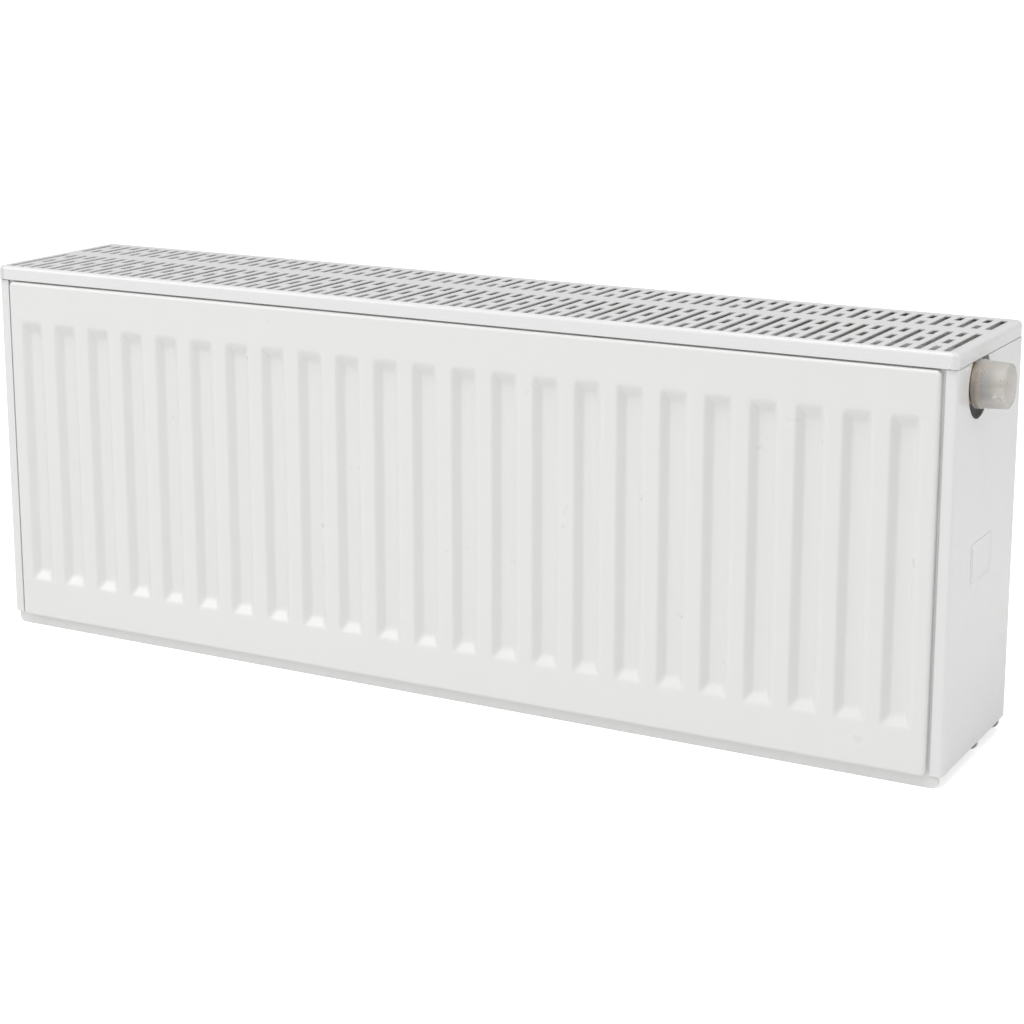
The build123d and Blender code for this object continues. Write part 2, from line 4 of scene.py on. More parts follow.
import bpy
import numpy as np
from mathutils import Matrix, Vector


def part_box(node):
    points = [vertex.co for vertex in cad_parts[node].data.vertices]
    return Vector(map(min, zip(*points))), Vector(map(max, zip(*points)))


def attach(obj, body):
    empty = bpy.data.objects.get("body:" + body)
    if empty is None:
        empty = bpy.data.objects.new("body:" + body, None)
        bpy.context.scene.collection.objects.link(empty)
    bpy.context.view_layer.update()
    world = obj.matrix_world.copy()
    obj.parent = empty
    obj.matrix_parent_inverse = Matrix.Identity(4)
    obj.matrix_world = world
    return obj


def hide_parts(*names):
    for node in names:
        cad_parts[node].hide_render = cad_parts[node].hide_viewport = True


# Looks of the panel radiator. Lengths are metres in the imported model's frame: +X along the radiator
# towards the valve, +Y towards the wall, +Z up. Each surface is worked out as whole arrays.

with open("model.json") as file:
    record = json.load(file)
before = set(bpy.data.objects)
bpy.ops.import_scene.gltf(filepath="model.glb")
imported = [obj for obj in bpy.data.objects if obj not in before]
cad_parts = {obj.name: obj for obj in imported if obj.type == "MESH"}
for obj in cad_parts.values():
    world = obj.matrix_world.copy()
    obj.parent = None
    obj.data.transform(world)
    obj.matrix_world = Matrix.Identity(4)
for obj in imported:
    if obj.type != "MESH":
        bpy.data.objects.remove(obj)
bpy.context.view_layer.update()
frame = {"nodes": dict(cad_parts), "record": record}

MM = 0.001


def span(node, axis):
    """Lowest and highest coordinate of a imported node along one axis."""
    low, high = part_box(node)
    return low[axis], high[axis]


X, Y, Z = range(3)

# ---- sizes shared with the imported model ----
panel_left, panel_right = span("front_panel_front_sheet", X)
panel_bottom, panel_top = span("front_panel_front_sheet", Z)
seams = {
    "front_panel": span("front_panel_front_sheet", Y)[1],
    "middle_panel": span("middle_panel_front_sheet", Y)[1],
    "rear_panel": span("rear_panel_front_sheet", Y)[1],
}

sheet = 1.2 * MM
press_depth = 5.0 * MM
flange_side = 8.0 * MM
flange_edge = 8.8 * MM
flange_corner = 5.0 * MM
body_corner = 4.0 * MM
press_round = 2.5 * MM
wall_run = 0.1 * MM
groove_pitch = 0.1 / 3
groove_count = 23
groove_length = 215.8 * MM
groove_half_mouth = 10.5 * MM
groove_half_floor = 5.5 * MM
groove_end_slope = 8.5 * MM
groove_corner_blend = 2.2 * MM
groove_edge_blend = 0.9 * MM


# ---- making meshes ----
sharp_angle = 0.7


def flat_grid(rows, columns, start=0):
    """Quads of a grid of rows x columns points, numbered row by row from start."""
    first = np.arange(rows - 1)[:, None] * columns + np.arange(columns - 1)[None, :] + start
    return np.stack([first, first + 1, first + columns + 1, first + columns], axis=-1).reshape(-1, 4)


def make_piece(name, points, faces, body, stands_for, finish, smooth=True):
    """Piece from an array of points and a list of face arrays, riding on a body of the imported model."""
    mesh = bpy.data.meshes.new(name)
    polygons = sum((block.tolist() for block in faces), [])
    mesh.from_pydata(points.tolist(), [], polygons)
    mesh.validate()
    if smooth:
        mesh.shade_smooth()
    mesh.materials.append(finish)
    piece = bpy.data.objects.new(name, mesh)
    bpy.context.scene.collection.objects.link(piece)
    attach(piece, body)
    if stands_for:
        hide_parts(stands_for)
    return piece


def give_wall(piece, thickness):
    """Wall of even thickness behind the drawn surface."""
    wall = piece.modifiers.new("wall", "SOLIDIFY")
    wall.thickness = thickness
    wall.offset = -1.0
    wall.use_even_offset = True


def soften_edges(piece, width):
    """Small rounding on every edge that turns by more than the sharp angle."""
    rounding = piece.modifiers.new("rounding", "BEVEL")
    rounding.width = width
    rounding.segments = 2
    rounding.limit_method = "ANGLE"
    rounding.angle_limit = sharp_angle
    rounding.harden_normals = True


def merge_close(piece, distance):
    """Joins points that lie closer than the distance, where two grids meet."""
    weld = piece.modifiers.new("weld", "WELD")
    weld.merge_threshold = distance


def soft_step(value, radius):
    """Ramp max(0, value) with a parabola of the given radius at its corner."""
    bent = (value + radius) ** 2 / (4 * radius)
    return np.where(value <= -radius, 0.0, np.where(value >= radius, value, bent))


def soft_min(a, b, radius):
    """Smaller of two values, rounded where they are nearly equal."""
    near = np.maximum(radius - np.abs(a - b), 0) / radius
    return np.minimum(a, b) - near * near * radius / 4


def mirrored(values, length):
    """The values, and the same distances measured back from the far end."""
    values = np.asarray(values)
    return np.concatenate([values, length - values[::-1]])


# ---- pressed panel sheets ----
def sheet_columns():
    """Distances from the sheet's end: close together at its edge and on every groove flank."""
    length = panel_right - panel_left
    edge = np.array([0, 0.5, 1.5, 3, 4.5, 6, 7, 7.6, 7.9, 8, 8.12, 8.35, 8.7, 9.1, 9.6, 10.1, 10.6, 11.3,
                     12.3, 13.6, 15, 16.6]) * MM
    flank = np.array([4.0, 4.8, 5.5, 6.3, 7.4, 8.6, 9.7, 10.5, 11.3, 12.1]) * MM
    half = np.concatenate([-flank[::-1], [0], flank, [groove_pitch / 2]])
    centres = length / 2 + (np.arange(groove_count) - (groove_count - 1) / 2) * groove_pitch
    inner = (centres[:, None] + half[None, :]).ravel()[:-1]
    return np.concatenate([edge, inner, length - edge[::-1]])


def sheet_rows():
    """Heights from the bottom edge: close together at the edges and on the groove ends."""
    height = panel_top - panel_bottom
    edge = np.array([0, 0.4, 1.1, 2, 3.2, 4.4, 5.4, 7, 8.3, 8.7, 8.8, 8.92, 9.15, 9.5, 9.9, 10.4, 10.9,
                     11.4, 12.1, 13, 14.4, 17.4, 24, 34]) * MM
    groove_bottom = (height - groove_length) / 2
    end = groove_bottom + np.array([-2.5, -1.2, 0, 1.2, 2.6, 4.2, 5.8, 7.2, 8.5, 9.8, 11.2, 13]) * MM
    straight = np.linspace(groove_bottom + 30.0 * MM, height / 2, 4)[:-1]
    return mirrored(np.concatenate([edge, end, straight]), height)


def pressed_sheet(name, seam, facing):
    """Pressed panel sheet as a height over the seam plane, on a grid along X and Z.

    Height is one sheet thickness on the flange. It rises by the press depth up a steep wall and a
    quarter circle, with the distance measured inwards from a rounded rectangle. Each groove takes away
    the smaller of two ramps, one across the groove and one along it, cut off at the press depth; every
    change of slope is a short parabola. Columns near an end slide inwards by the circle formula
    r - sqrt(r^2 - t^2), once for the flange's corners and once for the corners of the raised face.
    """
    length, height = panel_right - panel_left, panel_top - panel_bottom
    x, z = np.meshgrid(sheet_columns(), sheet_rows())

    side_x = length / 2 - np.abs(x - length / 2)
    side_z = height / 2 - np.abs(z - height / 2)

    def corner_inset(radius, from_corner):
        left_over = np.clip(radius - from_corner, 0, radius)
        return radius - np.sqrt(radius ** 2 - left_over ** 2)

    slide = corner_inset(flange_corner, side_z) * np.clip(1 - side_x / flange_side, 0, 1)
    # the face's slide grows over the flange and dies out again before the first groove
    grows, dies_out = (side_x - 4.5 * MM) / (3.4 * MM), (24.0 * MM - side_x) / (16.0 * MM)
    share_x = np.clip(np.minimum(grows, dies_out), 0, 1)
    share_z = np.clip((side_z - 5.4 * MM) / (3.2 * MM), 0, 1)
    slide = slide + corner_inset(body_corner, side_z - flange_edge) * share_x * share_z
    x = x + np.where(x < length / 2, slide, -slide)
    side_x = side_x + slide

    corner_x = np.maximum(body_corner + flange_side - side_x, 0)
    corner_z = np.maximum(body_corner + flange_edge - side_z, 0)
    in_corner = (corner_x > 0) & (corner_z > 0)
    inwards = np.minimum(side_x - flange_side, side_z - flange_edge)
    inwards = np.where(in_corner, body_corner - np.hypot(corner_x, corner_z), inwards)
    wall = (press_depth - press_round) * np.clip(inwards / wall_run + 1, 0, 1)
    round_share = 1 - np.clip(inwards / press_round, 0, 1)
    risen = (wall + press_round * np.sqrt(1 - round_share ** 2)) / press_depth

    from_centre = np.abs((x - length / 2 + groove_pitch / 2) % groove_pitch - groove_pitch / 2)
    across = (groove_half_mouth - from_centre) * press_depth / (groove_half_mouth - groove_half_floor)
    along = (groove_length / 2 - np.abs(z - height / 2)) * press_depth / groove_end_slope
    grooved = np.abs(x - length / 2) < groove_count / 2 * groove_pitch
    ramp = np.where(grooved, soft_min(across, along, groove_corner_blend), -press_depth)
    sunk = soft_step(ramp, groove_edge_blend) - soft_step(ramp - press_depth, groove_edge_blend)
    rise = sheet + press_depth * risen - sunk * risen

    points = np.stack([panel_left + x, seam + facing * rise, panel_bottom + z], axis=-1)
    quads = flat_grid(*x.shape)
    quads = quads if facing < 0 else quads[:, ::-1]
    piece = make_piece(name.replace("_sheet", "_pressing"), points.reshape(-1, 3), [quads], "radiator", name,
                       panel_enamel)
    give_wall(piece, sheet)
    soften_edges(piece, 0.25 * MM)


# ---- convectors ----
def rounded_path(corners, radius, steps):
    """Polyline with each inner corner replaced by an arc of evenly turned points.

    The arc's centre lies on the corner's bisector, the radius over the cosine of half the turn away.
    """
    before, at, after = corners[:-2], corners[1:-1], corners[2:]
    back = (before - at) / np.linalg.norm(before - at, axis=1)[:, None]
    ahead = (after - at) / np.linalg.norm(after - at, axis=1)[:, None]
    half_turn = (pi - np.arccos(np.clip((back * ahead).sum(1), -1, 1))) / 2
    middle = back + ahead
    middle /= np.linalg.norm(middle, axis=1)[:, None]
    centre = at + middle * (radius / np.cos(half_turn))[:, None]
    sweep = np.linspace(-1, 1, steps)[None, :] * half_turn[:, None]
    sideways = (ahead - back) / np.linalg.norm(ahead - back, axis=1)[:, None]
    arc = centre[:, None] + radius * (np.sin(sweep)[..., None] * sideways[:, None]
                                      - np.cos(sweep)[..., None] * middle[:, None])
    return np.concatenate([corners[:1], arc.reshape(-1, 2), corners[-1:]])


def bent_strip(name, path, thickness, bottom, top, body, finish):
    """Strip of even thickness that follows a path in plan, from bottom to top.

    Its two skins are the path and the path moved by the thickness along its own normal; the ends,
    the top and the bottom close the space between them.
    """
    run = np.gradient(path, axis=0)
    run /= np.linalg.norm(run, axis=1)[:, None]
    moved = path + thickness * np.stack([-run[:, 1], run[:, 0]], axis=1)
    ring = np.concatenate([path, moved[::-1]])
    heights = np.array([bottom, top])
    points = np.concatenate([np.column_stack([ring, np.full(len(ring), h)]) for h in heights])
    n, total = len(path), len(ring)
    here = np.arange(total)
    following = (here + 1) % total
    walls = np.stack([here, following, following + total, here + total], axis=-1)
    step = np.arange(n - 1)
    cap = np.stack([step, total - 1 - step, total - 2 - step, step + 1], axis=-1)
    make_piece(name + "_fins", points, [walls, cap, cap[:, ::-1] + total], body, name, finish,
               smooth=False)


def convector(node, weld_y, far_y):
    """Folded fin sheet: flats on the water channels joined by deeper flats between them."""
    fin_flat, far_flat, fin_sheet, fin_bend = 14.0 * MM, 12.0 * MM, 0.5 * MM, 1.6 * MM
    left, right = span(node, X)
    bottom, top = span(node, Z)
    side = 1 if far_y > weld_y else -1
    count = round((right - left - fin_flat) / groove_pitch) + 1
    welds = left + fin_flat / 2 + np.arange(count) * groove_pitch
    fold = np.array([[-fin_flat / 2, weld_y], [fin_flat / 2, weld_y],
                     [groove_pitch / 2 - far_flat / 2, far_y - side * fin_sheet],
                     [groove_pitch / 2 + far_flat / 2, far_y - side * fin_sheet]])
    corners = (fold[None] + np.stack([welds, np.zeros(count)], axis=1)[:, None]).reshape(-1, 2)[:-2]
    corners = corners if side > 0 else corners[::-1]
    path = rounded_path(corners, fin_bend, 5)
    bent_strip(node, path, fin_sheet, bottom, top, "radiator", panel_enamel)


# ---- top grille ----
def slotted_grille():
    """Grille: a flat deck with slots, rounded edges and a skirt.

    The deck is a grid whose lines run along every slot edge, with the cells inside the slots left
    out and each slot's corner points drawn in to round it. The deck's outline is carried outwards and
    down along a quarter circle and then straight down to the skirt's edge; four fans fill the
    outline's corners.
    """
    left, right = span("top_grille", X)
    front, rear = span("top_grille", Y)
    skirt_bottom, top = span("top_grille", Z)
    plan_corner, edge_round, metal = 5.0 * MM, 3.3 * MM, 0.9 * MM
    pitch, half_slot, slot_round, drawn_in = 10.0 * MM, 2.5 * MM, 0.8 * MM, 0.234 * MM
    bridge = 10.0 * MM
    wide = (front + 3.5 * MM, front + 76.5 * MM)
    narrow = (front + 94.0 * MM, front + 134.5 * MM)
    rows = 79
    corner = plan_corner - edge_round

    def dashes(band, count):
        low, high = band
        length = (high - low - (count - 1) * bridge) / count
        starts = low + np.arange(count) * (length + bridge)
        return np.stack([starts, starts + length], axis=1)

    whole = np.concatenate([dashes(wide, 1), dashes(narrow, 1)])
    broken = np.concatenate([dashes(wide, 3), dashes(narrow, 2)])
    middle = (left + right) / 2
    centres = middle + (np.arange(rows) - (rows - 1) / 2) * pitch
    across = np.array([-half_slot, -half_slot + slot_round, half_slot - slot_round, half_slot])
    slot_starts = np.unique(np.round(np.concatenate([whole[:, 0], broken[:, 0]]), 7))
    slot_ends = np.unique(np.round(np.concatenate([whole[:, 1], broken[:, 1]]), 7))
    low_x, high_x = left + edge_round, right - edge_round
    low_y, high_y = front + edge_round, rear - edge_round
    xs = np.concatenate([[low_x, low_x + corner], (centres[:, None] + across).ravel(),
                         [high_x - corner, high_x]])
    ys = np.unique(np.round(np.concatenate([
        [low_y, low_y + corner, high_y - corner, high_y], slot_starts, slot_starts + slot_round,
        slot_ends, slot_ends - slot_round]), 7))
    nx, ny = len(xs), len(ys)
    gx, gy = np.meshgrid(xs, ys)

    cell_x = (xs[:-1] + xs[1:]) / 2
    cell_y = (ys[:-1] + ys[1:]) / 2
    row_of = np.round((cell_x - centres[0]) / pitch).astype(int)
    real_row = (row_of >= 0) & (row_of < rows)
    in_row = real_row & (np.abs(cell_x - centres[np.clip(row_of, 0, rows - 1)]) < half_slot)

    def inside(spans):
        return ((cell_y[:, None] > spans[:, 0]) & (cell_y[:, None] < spans[:, 1])).any(1)

    even_row = (row_of % 2 == 0)[None, :]
    cut = np.where(even_row, inside(whole)[:, None], inside(broken)[:, None]) & in_row[None, :]
    corner_cell = np.zeros_like(cut)
    corner_cell[[0, 0, -1, -1], [0, -1, 0, -1]] = True
    keep = ~(cut | corner_cell)

    for parity, spans in ((0, whole), (1, broken)):
        chosen = centres[parity::2]
        for side in (-1, 1):
            column = np.searchsorted(xs, chosen + side * half_slot - 0.1 * MM)
            for end, inward in ((0, 1), (1, -1)):
                line = np.searchsorted(ys, spans[:, end] - 0.1 * MM)
                gx[np.ix_(line, column)] -= side * drawn_in
                gy[np.ix_(line, column)] += inward * drawn_in

    deck = np.stack([gx, gy, np.full_like(gx, top)], axis=-1).reshape(-1, 3)
    quads = flat_grid(ny, nx)[keep.ravel()]

    index = np.arange(nx * ny).reshape(ny, nx)
    steps = 7
    turn = np.linspace(0, pi / 2, steps + 2)[1:-1]
    hubs = [(index[1, -2], -pi / 2), (index[-2, -2], 0), (index[-2, 1], pi / 2), (index[1, 1], pi)]
    sides = [index[0, 1:-1], index[1:-1, -1], index[-1, 1:-1][::-1], index[1:-1, 0][::-1]]
    side_angle = [-pi / 2, 0, pi / 2, pi]
    loop, angle, arcs, fans = [], [], [], []
    start = len(deck)
    for side, facing, (hub, first) in zip(sides, side_angle, hubs):
        loop.append(side)
        angle.append(np.full(len(side), facing))
        a = first + turn
        arcs.append(deck[hub] + corner * np.stack([np.cos(a), np.sin(a), np.zeros(steps)], axis=1))
        loop.append(np.arange(start, start + steps))
        angle.append(a)
        start += steps
    following = [sides[1][0], sides[2][0], sides[3][0], sides[0][0]]
    for k, (hub, _) in enumerate(hubs):
        rim = np.concatenate([[sides[k][-1]], loop[2 * k + 1], [following[k]]])
        fans.append(np.stack([np.full(len(rim) - 1, hub), rim[:-1], rim[1:]], axis=1))
    loop, angle = np.concatenate(loop), np.concatenate(angle)
    deck = np.concatenate([deck] + arcs)

    bend = np.linspace(0, pi / 2, 8)[1:]
    reach = np.concatenate([edge_round * np.sin(bend), [edge_round, edge_round]])
    drop = np.concatenate([edge_round * (1 - np.cos(bend)), [edge_round + 3 * MM, top - skirt_bottom]])
    outward = np.stack([np.cos(angle), np.sin(angle), np.zeros(len(angle))], axis=1)
    downward = np.array([0, 0, -1])
    rings = deck[loop][None] + reach[:, None, None] * outward[None] + drop[:, None, None] * downward
    count = len(loop)
    numbers = np.concatenate([loop[None], len(deck) + np.arange(len(reach) * count).reshape(-1, count)])
    upper, lower = numbers[:-1], numbers[1:]
    next_lower, next_upper = np.roll(lower, -1, axis=1), np.roll(upper, -1, axis=1)
    skirt = np.stack([upper, lower, next_lower, next_upper], axis=-1).reshape(-1, 4)

    points = np.concatenate([deck, rings.reshape(-1, 3)])
    piece = make_piece("slotted_top_grille", points, [quads, np.concatenate(fans), skirt], "top_grille",
                       "top_grille", casing_enamel)
    give_wall(piece, metal)
    soften_edges(piece, 0.22 * MM)


# ---- side covers ----
valve_axis_y = sum(span("valve_insert", Y)) / 2
valve_axis_z = sum(span("valve_insert", Z)) / 2
valve_hole = 23.7 * MM


def side_cover(node, name, side, body):
    """Side cover: a plate with two folded lips and a round notch for the valve at its top edge.

    The plan profile runs round two bends from lip to lip and is carried up from the bottom edge. The
    part of the plate round the notch is a patch instead: straight lines from the notch's arc to three
    sides of a rectangle, both taken at the same angle about the valve's axis.
    """
    low_x, high_x = span(node, X)
    front, rear = span(node, Y)
    bottom, top = span(node, Z)
    bend, lip_width, metal = 2.0 * MM, 8.6 * MM, 0.8 * MM
    plate = high_x - 0.4 * MM if side > 0 else low_x
    lip = plate - side * lip_width
    patch_half, patch_bottom = 34.0 * MM, valve_axis_z - 34.0 * MM
    patch_front, patch_rear = valve_axis_y - patch_half, valve_axis_y + patch_half

    a = np.linspace(0, pi / 2, 7)
    front_bend = np.stack([plate - side * bend * (1 - np.sin(a)), front + bend * (1 - np.cos(a))], axis=1)
    rear_bend = np.stack([front_bend[::-1, 0], front + rear - front_bend[::-1, 1]], axis=1)
    front_strip = np.concatenate([[[lip, front]], front_bend, [[plate, patch_front]]])
    rear_strip = np.concatenate([[[plate, patch_rear]], rear_bend, [[lip, rear]]])
    low_heights = np.array([bottom, (bottom + patch_bottom) / 2, patch_bottom])
    steps_up, steps_across = 9, 15
    high_heights = np.linspace(patch_bottom, top, steps_up)
    middle_ys = np.linspace(patch_front, patch_rear, steps_across)
    heights = np.concatenate([low_heights[:-1], high_heights])
    points, faces, start = [], [], 0

    def add(grid):
        nonlocal start
        points.append(grid.reshape(-1, 3))
        faces.append(flat_grid(grid.shape[0], grid.shape[1], start))
        start += grid.shape[0] * grid.shape[1]

    def upright(plan, zs):
        return np.concatenate([np.broadcast_to(plan, (len(zs),) + plan.shape),
                               np.broadcast_to(zs[:, None, None], (len(zs), len(plan), 1))], axis=2)

    add(upright(front_strip, heights))
    add(upright(rear_strip, heights))
    add(upright(np.stack([np.full(steps_across, plate), middle_ys], axis=1), low_heights))

    border = np.concatenate([
        np.stack([np.full(steps_up, patch_front), high_heights[::-1]], axis=1),
        np.stack([middle_ys[1:-1], np.full(steps_across - 2, patch_bottom)], axis=1),
        np.stack([np.full(steps_up, patch_rear), high_heights], axis=1),
    ])
    around = np.unwrap(np.arctan2(border[:, 1] - valve_axis_z, border[:, 0] - valve_axis_y))
    rise = np.arcsin((top - valve_axis_z) / valve_hole)
    around = np.interp(around, [around[0], around[-1]], [-pi - rise, rise])
    arc = np.stack([valve_axis_y + valve_hole * np.cos(around),
                    valve_axis_z + valve_hole * np.sin(around)], axis=1)
    share = np.array([0, 0.12, 0.3, 0.6, 1])[:, None, None]
    patch = border + share * (arc - border)
    patch[:, [0, -1], 1] = top
    add(np.concatenate([np.full(patch.shape[:2] + (1,), plate), patch], axis=2))

    quads = np.concatenate(faces)
    quads = quads if side > 0 else quads[:, ::-1]
    piece = make_piece(name, np.concatenate(points), [quads], body, node, casing_enamel)
    merge_close(piece, 0.02 * MM)
    give_wall(piece, metal)
    soften_edges(piece, 0.2 * MM)


def rounded_outline(width, height, radius, steps):
    """Points of a rounded rectangle about the origin, anticlockwise."""
    turn = np.linspace(0, pi / 2, steps)
    centres = np.array([[1, 1], [-1, 1], [-1, -1], [1, -1]]) * [width / 2 - radius, height / 2 - radius]
    angles = turn[None, :] + (np.arange(4) * pi / 2)[:, None]
    return (centres[:, None] + radius * np.stack([np.cos(angles), np.sin(angles)], axis=-1)).reshape(-1, 2)


def cover_badge():
    """Blank pad on the right cover: rings of one rounded rectangle, each drawn in and raised a step."""
    plate = span("right_side_cover", X)[1]
    raised, width, height, corner = 0.4 * MM, 46.0 * MM, 30.0 * MM, 3.0 * MM
    centre = [seams["middle_panel"] - 23.0 * MM, panel_bottom + 146.0 * MM]
    corner_steps = 7
    around = 4 * corner_steps
    insets = np.array([0, 0, 0.15, 0.35, 1.5, 1.7, 1.95, 7.0]) * MM
    lifts = raised * np.array([-1.0, 0.35, 0.85, 1.0, 1.0, 0.85, 0.5, 0.5])
    rings = []
    for inset, lift in zip(insets, lifts):
        radius = max(corner - inset, 0.6 * MM)
        ring = rounded_outline(width - 2 * inset, height - 2 * inset, radius, corner_steps)
        rings.append(np.column_stack([np.full(around, plate - raised + lift), ring + centre]))
    points = np.concatenate(rings)
    numbers = np.arange(len(points)).reshape(len(rings), around)
    inner, outer = numbers[1:], numbers[:-1]
    walls = np.stack([outer, np.roll(outer, -1, 1), np.roll(inner, -1, 1), inner], axis=-1).reshape(-1, 4)
    make_piece("right_cover_pad", points, [walls, numbers[-1:], numbers[:1, ::-1]], "right_cover", None,
               casing_enamel)


# ---- turned pieces along X ----
def turned_piece(name, outline, axis_y, axis_z, body, stands_for, finish):
    """Outline of (x, radius) points turned about an axis along X, from one pole on the axis to the other."""
    around = 96
    a = np.linspace(0, 2 * pi, around, endpoint=False)
    x = np.broadcast_to(outline[:, :1], (len(outline), around))
    points = np.stack([x, axis_y + outline[:, 1:] * np.cos(a), axis_z + outline[:, 1:] * np.sin(a)], axis=-1)
    numbers = np.arange(len(outline) * around).reshape(len(outline), around)
    numbers[0], numbers[-1] = numbers[0, 0], numbers[-1, 0]
    near, ahead = numbers[:-1], numbers[1:]
    quads = np.stack([near, np.roll(near, -1, 1), np.roll(ahead, -1, 1), ahead], axis=-1)
    first = quads[0][:, [0, 2, 3]]
    last = quads[-1][:, [0, 1, 2]]
    piece = make_piece(name, points.reshape(-1, 3), [first, quads[1:-1].reshape(-1, 4), last], body,
                       stands_for, finish)
    merge_close(piece, 0.005 * MM)


# ---- finishes ----
def new_group(name, inputs, outputs):
    """Empty shader node group with its sockets, and its input and output nodes."""
    group = bpy.data.node_groups.new(name, "ShaderNodeTree")
    for label, kind, value in inputs:
        socket = group.interface.new_socket(name=label, in_out="INPUT", socket_type=kind)
        socket.default_value = value
    for label, kind in outputs:
        group.interface.new_socket(name=label, in_out="OUTPUT", socket_type=kind)
    return group, group.nodes.new("NodeGroupInput"), group.nodes.new("NodeGroupOutput")


def add_node(tree, kind, settings=None, **values):
    """Node with its settings, and with values put on its named sockets, where a socket is linked in."""
    node = tree.nodes.new(kind)
    for key, value in (settings or {}).items():
        setattr(node, key, value)
    for key, value in values.items():
        socket = node.inputs[key.replace("_", " ")]
        if isinstance(value, bpy.types.NodeSocket):
            tree.links.new(value, socket)
        else:
            socket.default_value = value
    return node


def maths(tree, operation, first, second):
    """Output of a math node whose two inputs are numbers or sockets."""
    node = tree.nodes.new("ShaderNodeMath")
    node.operation = operation
    for socket, value in zip(node.inputs, (first, second)):
        if isinstance(value, bpy.types.NodeSocket):
            tree.links.new(value, socket)
        else:
            socket.default_value = value
    return node.outputs[0]


def blend_colours(tree, share, first, second):
    """Colour that runs from the first to the second as the share rises."""
    node = tree.nodes.new("ShaderNodeMix")
    node.data_type = "RGBA"
    tree.links.new(share, node.inputs["Factor"])
    tree.links.new(first, node.inputs[6])
    tree.links.new(second, node.inputs[7])
    return node.outputs[2]


def noise(tree, place, scale, detail=2.0, roughness=0.5):
    """Cloudy value between 0 and 1 over a place, with a scale in cells per metre."""
    return add_node(tree, "ShaderNodeTexNoise", Vector=place, Scale=scale, Detail=detail,
                    Roughness=roughness).outputs["Fac"]


COLOUR, NUMBER = "NodeSocketColor", "NodeSocketFloat"
SURFACE = [("Color", COLOUR), ("Roughness", NUMBER), ("Height", NUMBER)]


def baked_enamel_group():
    """Baked enamel: fine orange peel over slow waves, with slight drifts of tone and gloss."""
    group, given, made = new_group("baked_enamel", [
        ("Tone", COLOUR, (0.8, 0.8, 0.8, 1)), ("Drift Tone", COLOUR, (0.78, 0.78, 0.76, 1)),
        ("Peel Scale", NUMBER, 520.0), ("Gloss", NUMBER, 0.3)], SURFACE)
    place = group.nodes.new("ShaderNodeTexCoord").outputs["Object"]
    drift = noise(group, place, 7.0, 3.0)
    tone = blend_colours(group, drift, given.outputs["Tone"], given.outputs["Drift Tone"])
    peel = noise(group, place, given.outputs["Peel Scale"], 1.5)
    wave = noise(group, place, 45.0, 1.0)
    specks = noise(group, place, 1900.0, 0.0)
    speck_mask = maths(group, "GREATER_THAN", specks, 0.83)
    height = maths(group, "ADD", maths(group, "MULTIPLY", peel, 0.5),
                   maths(group, "MULTIPLY", wave, 0.2))
    height = maths(group, "ADD", height, maths(group, "MULTIPLY", speck_mask, 0.12))
    dulling = noise(group, place, 60.0, 4.0)
    gloss = maths(group, "ADD", given.outputs["Gloss"],
                  maths(group, "MULTIPLY", maths(group, "SUBTRACT", dulling, 0.5), 0.12))
    group.links.new(tone, made.inputs["Color"])
    group.links.new(gloss, made.inputs["Roughness"])
    group.links.new(height, made.inputs["Height"])
    return group


def turned_metal_group():
    """Turned or drawn metal: fine lines across the X axis, broken by blotches of tarnish."""
    group, given, made = new_group("turned_metal", [
        ("Tone", COLOUR, (0.6, 0.6, 0.6, 1)), ("Tarnish", COLOUR, (0.4, 0.4, 0.4, 1)),
        ("Line Scale", NUMBER, 2600.0), ("Gloss", NUMBER, 0.25)], SURFACE)
    place = group.nodes.new("ShaderNodeTexCoord").outputs["Object"]
    parts = add_node(group, "ShaderNodeSeparateXYZ", Vector=place)
    along = maths(group, "MULTIPLY", parts.outputs["X"], given.outputs["Line Scale"])
    lines = add_node(group, "ShaderNodeTexNoise", {"noise_dimensions": "1D"}, W=along, Scale=1.0,
                     Detail=2.0).outputs["Fac"]
    blotch = noise(group, place, 160.0, 5.0, 0.62)
    share = maths(group, "MULTIPLY", maths(group, "POWER", blotch, 2.2), 1.4)
    tone = blend_colours(group, share, given.outputs["Tone"], given.outputs["Tarnish"])
    gloss = maths(group, "ADD", given.outputs["Gloss"], maths(group, "MULTIPLY", blotch, 0.22))
    group.links.new(tone, made.inputs["Color"])
    group.links.new(gloss, made.inputs["Roughness"])
    group.links.new(lines, made.inputs["Height"])
    return group


def moulded_group():
    """Moulded plastic or rubber: a fine sparked grain, slow flow marks and a little uneven tone."""
    group, given, made = new_group("moulded_grain", [
        ("Tone", COLOUR, (0.8, 0.8, 0.8, 1)), ("Flow Tone", COLOUR, (0.7, 0.7, 0.7, 1)),
        ("Grain Scale", NUMBER, 1500.0), ("Gloss", NUMBER, 0.45)], SURFACE)
    place = group.nodes.new("ShaderNodeTexCoord").outputs["Object"]
    flow = noise(group, place, 110.0, 3.0)
    grain = add_node(group, "ShaderNodeTexVoronoi", Vector=place,
                     Scale=given.outputs["Grain Scale"]).outputs["Distance"]
    tone = blend_colours(group, flow, given.outputs["Tone"], given.outputs["Flow Tone"])
    gloss = maths(group, "ADD", given.outputs["Gloss"], maths(group, "MULTIPLY", flow, 0.15))
    height = maths(group, "ADD", grain, maths(group, "MULTIPLY", flow, 0.8))
    group.links.new(tone, made.inputs["Color"])
    group.links.new(gloss, made.inputs["Roughness"])
    group.links.new(height, made.inputs["Height"])
    return group


enamel_surface = baked_enamel_group()
metal_surface = turned_metal_group()
moulded_surface = moulded_group()


